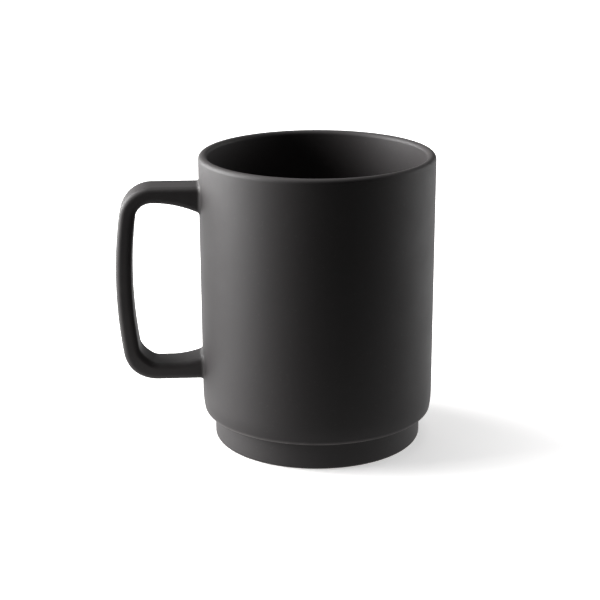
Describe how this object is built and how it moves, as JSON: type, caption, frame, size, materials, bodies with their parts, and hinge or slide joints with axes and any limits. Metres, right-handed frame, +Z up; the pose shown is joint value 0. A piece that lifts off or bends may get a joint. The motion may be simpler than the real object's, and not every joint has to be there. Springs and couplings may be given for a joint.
{
  "type": "stacking mug",
  "caption": "Straight-sided matt black stoneware mug with a squared loop handle, rounded rim and a stepped foot that nests in the mug below.",
  "frame": {"origin": "on the cup's axis at the level of the table it stands on", "axes": "+Z up along the cup's axis and out of its mouth; the handle points along -X and lies in the XZ plane"},
  "size_m": [0.1167, 0.086, 0.1074],
  "materials": {
    "stoneware_clay": "bare fired clay",
    "fired_slip": "bare fired slip",
    "matt_black_glaze": "matt",
    "liner_glaze": "matt"
  },
  "bodies": {
    "root": {"cup_body": "stoneware_clay", "outer_glaze": "matt_black_glaze", "liner_glaze": "liner_glaze", "base_glaze": "matt_black_glaze", "handle": "stoneware_clay", "upper_slip_joint": "fired_slip", "lower_slip_joint": "fired_slip", "handle_glaze": "matt_black_glaze"}
  },
  "joints": []
}
